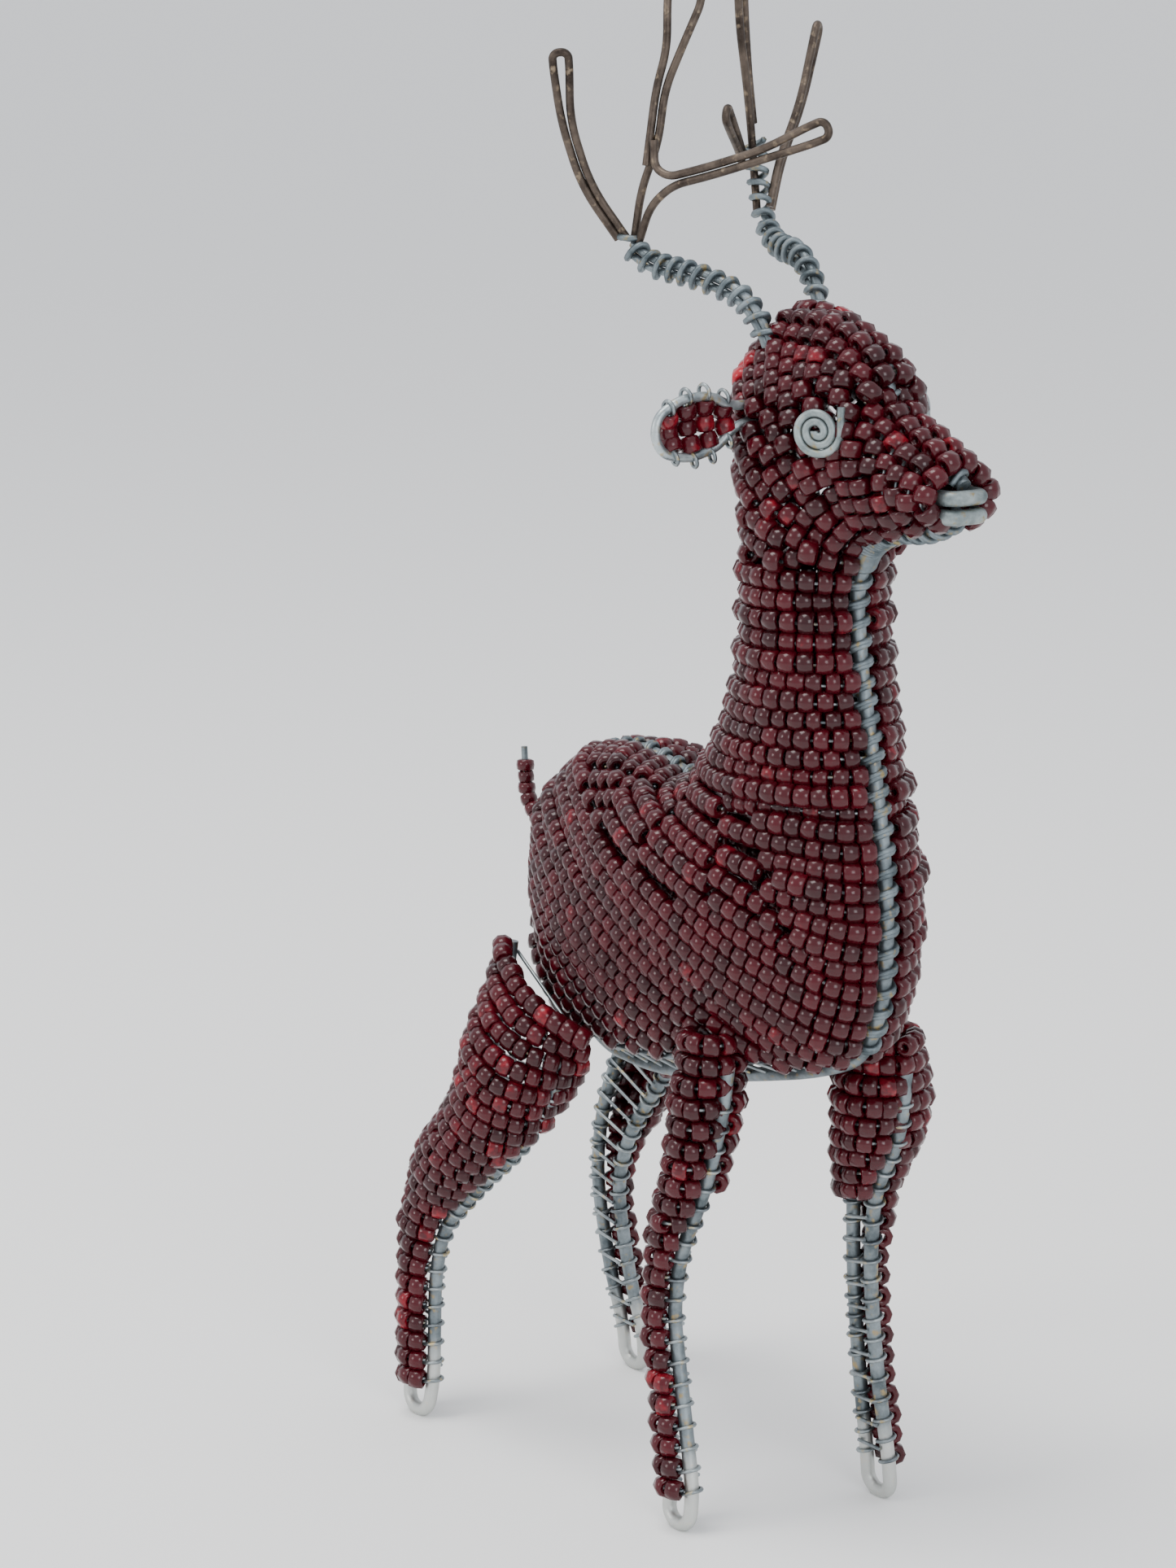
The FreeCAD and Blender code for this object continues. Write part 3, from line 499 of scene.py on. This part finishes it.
def windings(places, ways, toward, wire, drift, slip):
    """One slanted turn of thin wire round a thicker wire at each place.  A point is the place, plus the drift
    times (u - 1/2) along the wire, plus the turn's radius in a circle that starts and ends towards the row;
    near both ends the radius grows, so the wire runs out to the row's first bead."""
    u = np.linspace(0, 1, 21)[None, :, None]
    ways = ways / np.linalg.norm(ways, axis=1, keepdims=True)
    toward = toward - ways * (toward * ways).sum(1, keepdims=True)
    toward /= np.linalg.norm(toward, axis=1, keepdims=True)
    beside = np.cross(ways, toward)
    round_wire = wire / 2 + THIN / 2 + 0.03 * MM
    flare = np.clip(1 - np.minimum(u, 1 - u) / 0.08, 0, 1) ** 1.5
    radius = round_wire + flare * 0.4 * MM
    turn = 2 * np.pi * u
    lines = places[:, None] + ways[:, None] * (drift * (u - 0.5) + slip)
    return lines + radius * (np.cos(turn) * toward[:, None] + np.sin(turn) * beside[:, None])


seam_wire = wire_finish("seam_wire", (0.07, 0.09, 0.10), (0.22, 0.26, 0.28), (0.30, 0.24, 0.12), 0.40)
thread_lines, thread_across = [line for line, _ in threads], [across for _, across in threads]
piece = sweep("row_threads", thread_lines, thread_across, THIN, 5, thin_wire)
for seam, label in (("spine", "spine_wire_turns"), ("chest", "chest_seam_turns")):
    chosen = [entry for entry in seam_ends if entry[4] == seam]
    places, ways = np.array([e[0] for e in chosen]), np.array([e[1] for e in chosen])
    toward, sides = np.array([e[2] for e in chosen]), np.array([e[3] for e in chosen])
    slip = np.where(sides > 0, 0.25, -0.25)[:, None, None] * ROW_PITCH
    lines = windings(places, ways, toward, WIRE, 2.2 * MM, slip)
    piece = sweep(seam + "_seam_binding", lines, ways, 0.80 * MM, 6, seam_wire)
    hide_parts(label)


# ---- the legs' bead rows ---------------------------------------------------------------------------------
# Short rows of the same beads bulge outwards between the two wires of each leg's hairpin, with one turn of
# thin wire round each of them at both ends.  The inner side has only bare thin wire across, apart from the
# upper part of the front legs, which has rows on both sides.

LEG_HEIGHT = 60.0
LEG_PITCH = 2.85 * MM
# heights and lengths in mm: where rows begin to ride over the wires and over what height they come to do so,
# where the front legs' inner rows end, and where rows begin to run on against the body
OVER_FROM, OVER_BLEND = 34.0, 8.0
INNER_FROM = 44.0
PAST_FROM, PAST_BLEND = 48.0, 8.0
BULGE_BLEND = 14.0 * MM


def leg_line(side, top_spread, foot_spread, points):
    """A leg wire through (x in mm, share of the leg's height); its distance from the middle goes evenly from
    half the foot spread on the ground to half the top spread at the leg's full height."""
    x, up = np.array(points).T
    y = side * (foot_spread + (top_spread - foot_spread) * up) / 2
    return rounded(np.stack([x, y, up * LEG_HEIGHT], -1) * MM) + between_feet


LEGS = [
    ("front_right", -1, 19.0, 28.4, 1.10, 0.50,
     [(-6.8, 1.14), (-7.0, 0.95), (-8.1, 0.78), (-11.6, 0.60), (-12.0, 0.47), (-8.7, 0.26), (-6.4, 0.10)],
     [(-0.8, 1.14), (-1.2, 0.95), (-3.3, 0.78), (-7.8, 0.60), (-8.4, 0.47), (-4.7, 0.26), (-1.9, 0.10)]),
    ("front_left", 1, 19.0, 28.4, 1.10, 0.50,
     [(2.6, 1.14), (2.1, 0.96), (0.7, 0.76), (-0.4, 0.53), (-0.2, 0.30), (0.6, 0.10)],
     [(12.3, 1.14), (11.6, 0.96), (9.8, 0.86), (4.8, 0.73), (3.0, 0.53), (3.5, 0.30), (5.1, 0.10)]),
    ("hind_right", -1, 25.0, 38.5, 1.18, 0.42,
     [(-46.0, 1.17), (-46.5, 1.00), (-49.5, 0.83), (-58.5, 0.66), (-63.2, 0.50), (-63.0, 0.33),
      (-61.0, 0.10)],
     [(-31.0, 1.03), (-32.8, 0.88), (-38.6, 0.73), (-48.4, 0.59), (-56.0, 0.46), (-57.0, 0.33),
      (-55.2, 0.10)]),
    ("hind_left", 1, 25.0, 32.5, 1.18, 0.45,
     [(-48.5, 1.17), (-50.0, 0.97), (-54.0, 0.82), (-59.2, 0.66), (-61.8, 0.47), (-59.8, 0.25),
      (-57.0, 0.10)],
     [(-33.5, 1.03), (-39.0, 0.88), (-46.5, 0.74), (-53.0, 0.61), (-56.8, 0.46), (-55.0, 0.25),
      (-52.2, 0.10)]),
]


def bowed_row(start, end, side, bulge, below_top, over, past):
    """An arc from start to end that bows out to one side by the bulge times its chord, less near the leg's
    top, but by at least three quarters of a bead; as 41 points.  Both ends lie that far over to the side
    first, and the arc carries on past its end by that share of half its angle."""
    start, end = start + np.array([0.0, side * over, 0.0]), end + np.array([0.0, side * over, 0.0])
    chord = end - start
    long = np.linalg.norm(chord)
    bow = max(long * bulge * min(1.0, 0.3 + below_top / BULGE_BLEND), 0.75 * BEAD)
    radius = (long ** 2 / 4 + bow ** 2) / (2 * bow)
    out = np.array([0.0, side, 0.0])
    out -= chord * (out @ chord) / long ** 2
    out /= np.linalg.norm(out)
    half = np.arctan2(long / 2, radius - bow)
    angle = np.linspace(-half, half * (1 + past), 41)[:, None]
    swing = out * np.cos(angle) + chord / long * np.sin(angle)
    return (start + end) / 2 + out * (bow - radius) + radius * swing


for name, side, top_spread, foot_spread, rows_from, bulge, rear_points, front_points in LEGS:
    rear = leg_line(side, top_spread, foot_spread, rear_points)
    front = leg_line(side, top_spread, foot_spread, front_points)
    count = int(np.ceil(max(length_of(rear), length_of(front)) / LEG_PITCH))
    shares = np.arange(count + 1) / count
    rear_at, rear_way = spots(rear, shares * length_of(rear))
    front_at, front_way = spots(front, shares * length_of(front))
    used = rear_at[:, 2] <= rows_from * LEG_HEIGHT * MM
    rear_at, rear_way, front_at, front_way = rear_at[used], rear_way[used], front_at[used], front_way[used]
    leg_at, leg_way, leg_out, leg_threads, leg_across = [], [], [], [], []
    # the thigh's rows ride over both wires, hide them from outside and end against the body; the upper part
    # of a front leg has rows on its inner side as well
    over_shares = np.clip((rear_at[:, 2] / MM - OVER_FROM) / OVER_BLEND, 0, 1)
    inner = (rear_at[:, 2] > INNER_FROM * MM) & name.startswith("front")
    row_places = [(a, b, side, share) for a, b, share in zip(rear_at, front_at, over_shares)]
    row_places += [(a, b, -side, 0.6) for a, b in zip(rear_at[inner], front_at[inner])]
    for start, end, face, over in row_places:
        past = 0.45 * np.clip((start[2] / MM - PAST_FROM) / PAST_BLEND, 0, 1) if face == side else 0.0
        arc = bowed_row(start, end, face, bulge, rear[0][2] - start[2], over * 1.5 * MM, past)
        total = length_of(arc)
        short = ROW_END * (1 - 1.15 * over)
        number = max(2, int(round((total - 2 * short + 0.4 * MM) / BEAD_LENGTH)))
        distances = short + (np.arange(number) + 0.5) * (total - 2 * short) / number
        here, toward = spots(arc, distances)
        leg_at.append(here)
        leg_way.append(toward)
        leg_out.append(here - (start + end) / 2)
        leg_threads.append(spots(arc, np.linspace(ROW_END * 0.8, total - ROW_END * 0.8, 16))[0])
        leg_across.append(np.cross(end - start, [0.0, face, 0.0]))
    leg_at, leg_way, leg_out = np.vstack(leg_at), np.vstack(leg_way), np.vstack(leg_out)
    leg_at = leg_at + 0.08 * MM * chance.standard_normal(leg_at.shape)
    tone = chance.random(len(leg_at)) * 0.9
    piece = thread_beads(name + "_leg_bead_rows", leg_at, leg_way, leg_out, BEAD, BEAD_LENGTH, red_glass,
                         tone)
    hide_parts(name + "_leg_beads")
    outer = leg_threads[:len(rear_at)]
    wired = np.tile(rear_at[:, 2] < LEG_HEIGHT * MM, 2)
    toward = np.vstack([np.array([arc[2] for arc in outer]) - rear_at,
                        np.array([arc[-3] for arc in outer]) - front_at])[wired]
    ways = np.vstack([rear_way, front_way])[wired]
    places = np.vstack([rear_at, front_at])[wired]
    lines = windings(places, ways, toward, WIRE, 0.9 * MM, np.zeros((1, 1, 1)))
    piece = sweep(name + "_leg_binding", lines, ways, THIN, 6, thin_wire)
    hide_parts(name + "_leg_turns")
    piece = sweep(name + "_leg_threads", leg_threads, leg_across, THIN, 5, thin_wire)


# ---- the ears ----------------------------------------------------------------------------------------------
# A leaf of thinner galvanised wire that comes out between the head's rows, with four upright rows of beads
# inside it and a turn of thin wire round the leaf at both ends of each row.

EAR_LENGTH, EAR_WIDTH, EAR_WIRE = 11.5 * MM, 7.6 * MM, 1.2 * MM
EAR_ROWS, EAR_PITCH = 4, 2.7 * MM
EARS = (("right", (-1.0, -9.4, 145.6), (-1.7, -20.0, 143.9)), ("left", (4.0, 7.8, 148.4), (3.4, 17.6, 144.0)))
ear_wire_finish = wire_finish("ear_wire", (0.20, 0.24, 0.26), (0.50, 0.55, 0.56), (0.40, 0.33, 0.20), 0.30)
for name, root, tip in EARS:
    root = np.array(root) * MM + between_feet
    way = np.array(tip) * MM + between_feet - root
    way /= np.linalg.norm(way)
    rise = np.array([0.0, 0.0, 1.0]) - way * way[2]
    rise /= np.linalg.norm(rise)
    facing = np.cross(way, rise)
    shares = (np.arange(EAR_ROWS) + 0.30) * EAR_PITCH / EAR_LENGTH
    tall = np.minimum(np.minimum(1.0, 0.55 + 1.6 * shares), 2.2 * (1.12 - shares))
    tall = EAR_WIDTH / 2 * tall - EAR_WIRE / 2
    ear_at, ear_way, ear_threads, ends = [], [], [], []
    for share, high in zip(shares, tall):
        middle = root + way * share * EAR_LENGTH
        bend = np.linspace(-1, 1, 31)[:, None]
        arc = middle + rise * bend * high + facing * 0.9 * MM * (1 - bend ** 2)
        total = length_of(arc)
        number = max(2, int(round(total / (2.0 * MM))))
        here, toward = spots(arc, (np.arange(number) + 0.5) * total / number)
        ear_at.append(here)
        ear_way.append(toward)
        ear_threads.append(spots(arc, np.linspace(0, total, 12))[0])
        ends.append((middle + rise * (high + EAR_WIDTH * 0.03 + EAR_WIRE / 2), -rise))
        ends.append((middle - rise * (high + EAR_WIDTH * 0.03 + EAR_WIRE / 2), rise))
    ear_at, ear_way = np.vstack(ear_at), np.vstack(ear_way)
    ear_out = np.tile(facing, (len(ear_at), 1))
    piece = thread_beads(name + "_ear_bead_rows", ear_at, ear_way, ear_out, 2.7 * MM, 2.05 * MM, red_glass,
                         0.3 + 0.6 * chance.random(len(ear_at)))
    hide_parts(name + "_ear_beads")
    places, toward = np.array([e[0] for e in ends]), np.array([e[1] for e in ends])
    ways = np.tile(way, (len(places), 1))
    lines = windings(places, ways, toward, EAR_WIRE, 0.7 * MM, np.zeros((1, 1, 1)))
    piece = sweep(name + "_ear_binding", lines, ways, THIN, 6, thin_wire)
    thread_across = np.tile(facing, (len(ear_threads), 1))
    piece = sweep(name + "_ear_threads", ear_threads, thread_across, THIN, 5, thin_wire)
    paint_parts(ear_wire_finish, name + "_ear_wire")


# ---- the eyes and the nose ---------------------------------------------------------------------------------
# Each eye is a flat spiral of bare wire laid on the cheek, and the nose is two thick staples of wire, one
# above the other; both are a little paler than the frame.

pale_wire = wire_finish("rubbed_wire", (0.12, 0.15, 0.155), (0.34, 0.39, 0.39), (0.30, 0.24, 0.12), 0.42)
paint_parts(pale_wire, "right_eye_spiral", "left_eye_spiral", "nose_wire")


# ---- the ring of beads round the left antler -------------------------------------------------------------
# Eight beads on a loop of thin wire, pushed down over the antler onto the crown.

RING_RADIUS = 2.9 * MM
ring_middle = between_feet + np.array([RING_AHEAD, RING_LEFT, 157.2 * MM])
ring_axis = np.array([0.0, 0.35, 1.0]) / np.hypot(0.35, 1.0)
turn = np.arange(8) / 8 * 2 * np.pi
ring_side = np.array([1.0, 0.0, 0.0])
ring_back = np.cross(ring_axis, ring_side)
ring_out = np.cos(turn)[:, None] * ring_side + np.sin(turn)[:, None] * ring_back
ring_way = np.cross(ring_axis, ring_out)
piece = thread_beads("left_antler_ring_beads", ring_middle + RING_RADIUS * ring_out, ring_way, ring_out, BEAD,
                     2.2 * MM, red_glass, 0.75 + 0.2 * chance.random(8))
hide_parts("left_antler_bead_ring")


# ---- the antlers -------------------------------------------------------------------------------------------
# Bare steel wire, darker than the frame: each tine is a hairpin with a rounded loop at its tip, and each beam
# is two of those wires side by side with galvanised wire wound round them.  On the left the winding runs on
# up the first part of the tines.

antler_wire = wire_finish("antler_wire", (0.030, 0.022, 0.018), (0.115, 0.090, 0.072), (0.22, 0.17, 0.12),
                          0.36)
for name in ("right", "left"):
    paint_parts(antler_wire, *["%s_antler_%s_tine" % (name, tine) for tine in ("outer", "top", "inner")])
    paint_parts(zinc_wire, name + "_antler_beam")
BEAMS = {
    "right": [(0.6, -3.6, 148.5), (-0.3, -4.4, 155.3), (-4.0, -5.3, 160.0), (-10.8, -6.9, 162.1),
              (-18.2, -8.9, 163.2), (-21.6, -9.7, 165.3), (-21.9, -9.8, 167.2)],
    "left": [(0.4, 3.8, 149.5), (-1.0, 4.8, 157.0), (-3.2, 5.2, 161.5), (-7.2, 6.2, 164.6),
             (-13.6, 7.8, 165.0), (-18.0, 8.9, 167.8), (-20.3, 9.7, 173.6), (-21.0, 9.5, 178.5)]}
WINDING_PITCH = 2.1 * MM
for name, points in BEAMS.items():
    beam = rounded(np.array(points) * MM) + between_feet
    total = length_of(beam)
    along = np.linspace(6.0 * MM, total - 0.5 * MM, int((total - 6.5 * MM) / (0.06 * MM)))
    middle, way = spots(beam, along)
    aside = np.cross(way, [0.0, 0.0, 1.0])
    aside /= np.linalg.norm(aside, axis=1, keepdims=True)
    up = np.cross(aside, way)
    # the pitch is a little uneven, as it is when wound by hand
    angle = (2 * np.pi * along / WINDING_PITCH + 0.6 * np.sin(along / (1.9 * MM)))[:, None]
    coil = middle + aside * 1.05 * MM * np.cos(angle) + up * 1.45 * MM * np.sin(angle)
    piece = sweep(name + "_antler_winding", [coil], [way.mean(0)], 0.85 * MM, 6, seam_wire)
    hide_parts(name + "_antler_wrapping")


# ---- the tail ----------------------------------------------------------------------------------------------
# Beads of the same glass on a wire that comes out of the spine wire's end and curls up.

tail_root, _ = on_frame(top_line, reach_of(top_points, top_line, 18.4))
tail_points = np.array([(-1.6, 0, 0.6), (-5.0, 0, 0.9), (-7.6, 0, 3.4), (-8.3, 0, 10.6)]) * MM
tail_line = rounded(tail_root + tail_points)
total = length_of(tail_line) - 2.8 * MM
number = int(total / (1.5 * MM))
tail_at, tail_way = spots(tail_line, 1.0 * MM + (np.arange(number) + 0.5) * total / number)
tail_out = np.tile([0.0, 1.0, 0.0], (number, 1))
piece = thread_beads("tail_bead_row", tail_at, tail_way, tail_out, 2.5 * MM, 1.55 * MM, red_glass,
                     0.3 + 0.5 * chance.random(number))
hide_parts("tail_beads")
paint_parts(zinc_wire, "tail_wire")


# ---- floor, light and camera -------------------------------------------------------------------------------
# A plain pale floor, soft light from above and both sides, and a camera that looks a little down on the stag
# from in front of its right shoulder.

turn = np.arange(64) / 64 * 2 * np.pi
rings = np.array([0.0, 0.3, 2.0, 60.0])[:, None, None] + 1e-4
floor_circle = np.stack([np.cos(turn), np.sin(turn), 0 * turn], -1)
floor_points = (rings * floor_circle).reshape(-1, 3)
i, j = np.meshgrid(np.arange(3), np.arange(64), indexing="ij")
j2 = (j + 1) % 64
floor_quads = np.stack([i * 64 + j, (i + 1) * 64 + j, (i + 1) * 64 + j2, i * 64 + j2], -1).reshape(-1, 4)
floor_mesh = bpy.data.meshes.new("floor")
floor_mesh.from_pydata(floor_points.tolist(), [], floor_quads.tolist() + [list(range(64))])
floor_finish = bpy.data.materials.new("pale_floor")
floor_finish.use_nodes = True
floor_finish.node_tree.nodes["Principled BSDF"].inputs["Base Color"].default_value = (0.90, 0.90, 0.89, 1.0)
floor_finish.node_tree.nodes["Principled BSDF"].inputs["Roughness"].default_value = 0.7
floor_mesh.materials.append(floor_finish)
floor = bpy.data.objects.new("floor", floor_mesh)
bpy.context.scene.collection.objects.link(floor)

world = bpy.data.worlds.new("soft_room")
world.use_nodes = True
world.node_tree.nodes["Background"].inputs["Color"].default_value = (0.93, 0.95, 1.0, 1.0)
world.node_tree.nodes["Background"].inputs["Strength"].default_value = 1.15
bpy.context.scene.world = world


def soft_light(name, place, target, size, power, colour):
    """A square area light at a place in metres, turned to face a target."""
    lamp = bpy.data.lights.new(name, "AREA")
    lamp.size, lamp.energy, lamp.color = size, power, colour
    holder = bpy.data.objects.new(name, lamp)
    bpy.context.scene.collection.objects.link(holder)
    holder.location = place
    away = np.array(place) - np.array(target)
    flat = np.hypot(away[0], away[1])
    holder.rotation_euler = (np.arctan2(flat, away[2]), 0.0, np.arctan2(away[0], -away[1]))
    return holder


soft_light("overhead_light", (-0.10, -0.25, 0.95), (0.0, 0.0, 0.10), 0.45, 6.0, (1.0, 0.98, 0.95))
soft_light("front_light", (0.85, -0.20, 0.45), (0.0, 0.0, 0.10), 0.40, 3.0, (0.96, 0.98, 1.0))
soft_light("left_light", (-0.25, -0.85, 0.40), (0.0, 0.0, 0.10), 0.30, 2.2, (1.0, 0.97, 0.93))

lens = bpy.data.cameras.new("camera")
lens.sensor_width = 36.0
lens.lens = 86.87
camera = bpy.data.objects.new("camera", lens)
bpy.context.scene.collection.objects.link(camera)
camera.location = np.array([364.3, -296.6, 198.2]) * MM + between_feet
camera.rotation_euler = (np.radians(90.0 - 12.0), 0.0, np.radians(54.0))
bpy.context.scene.camera = camera
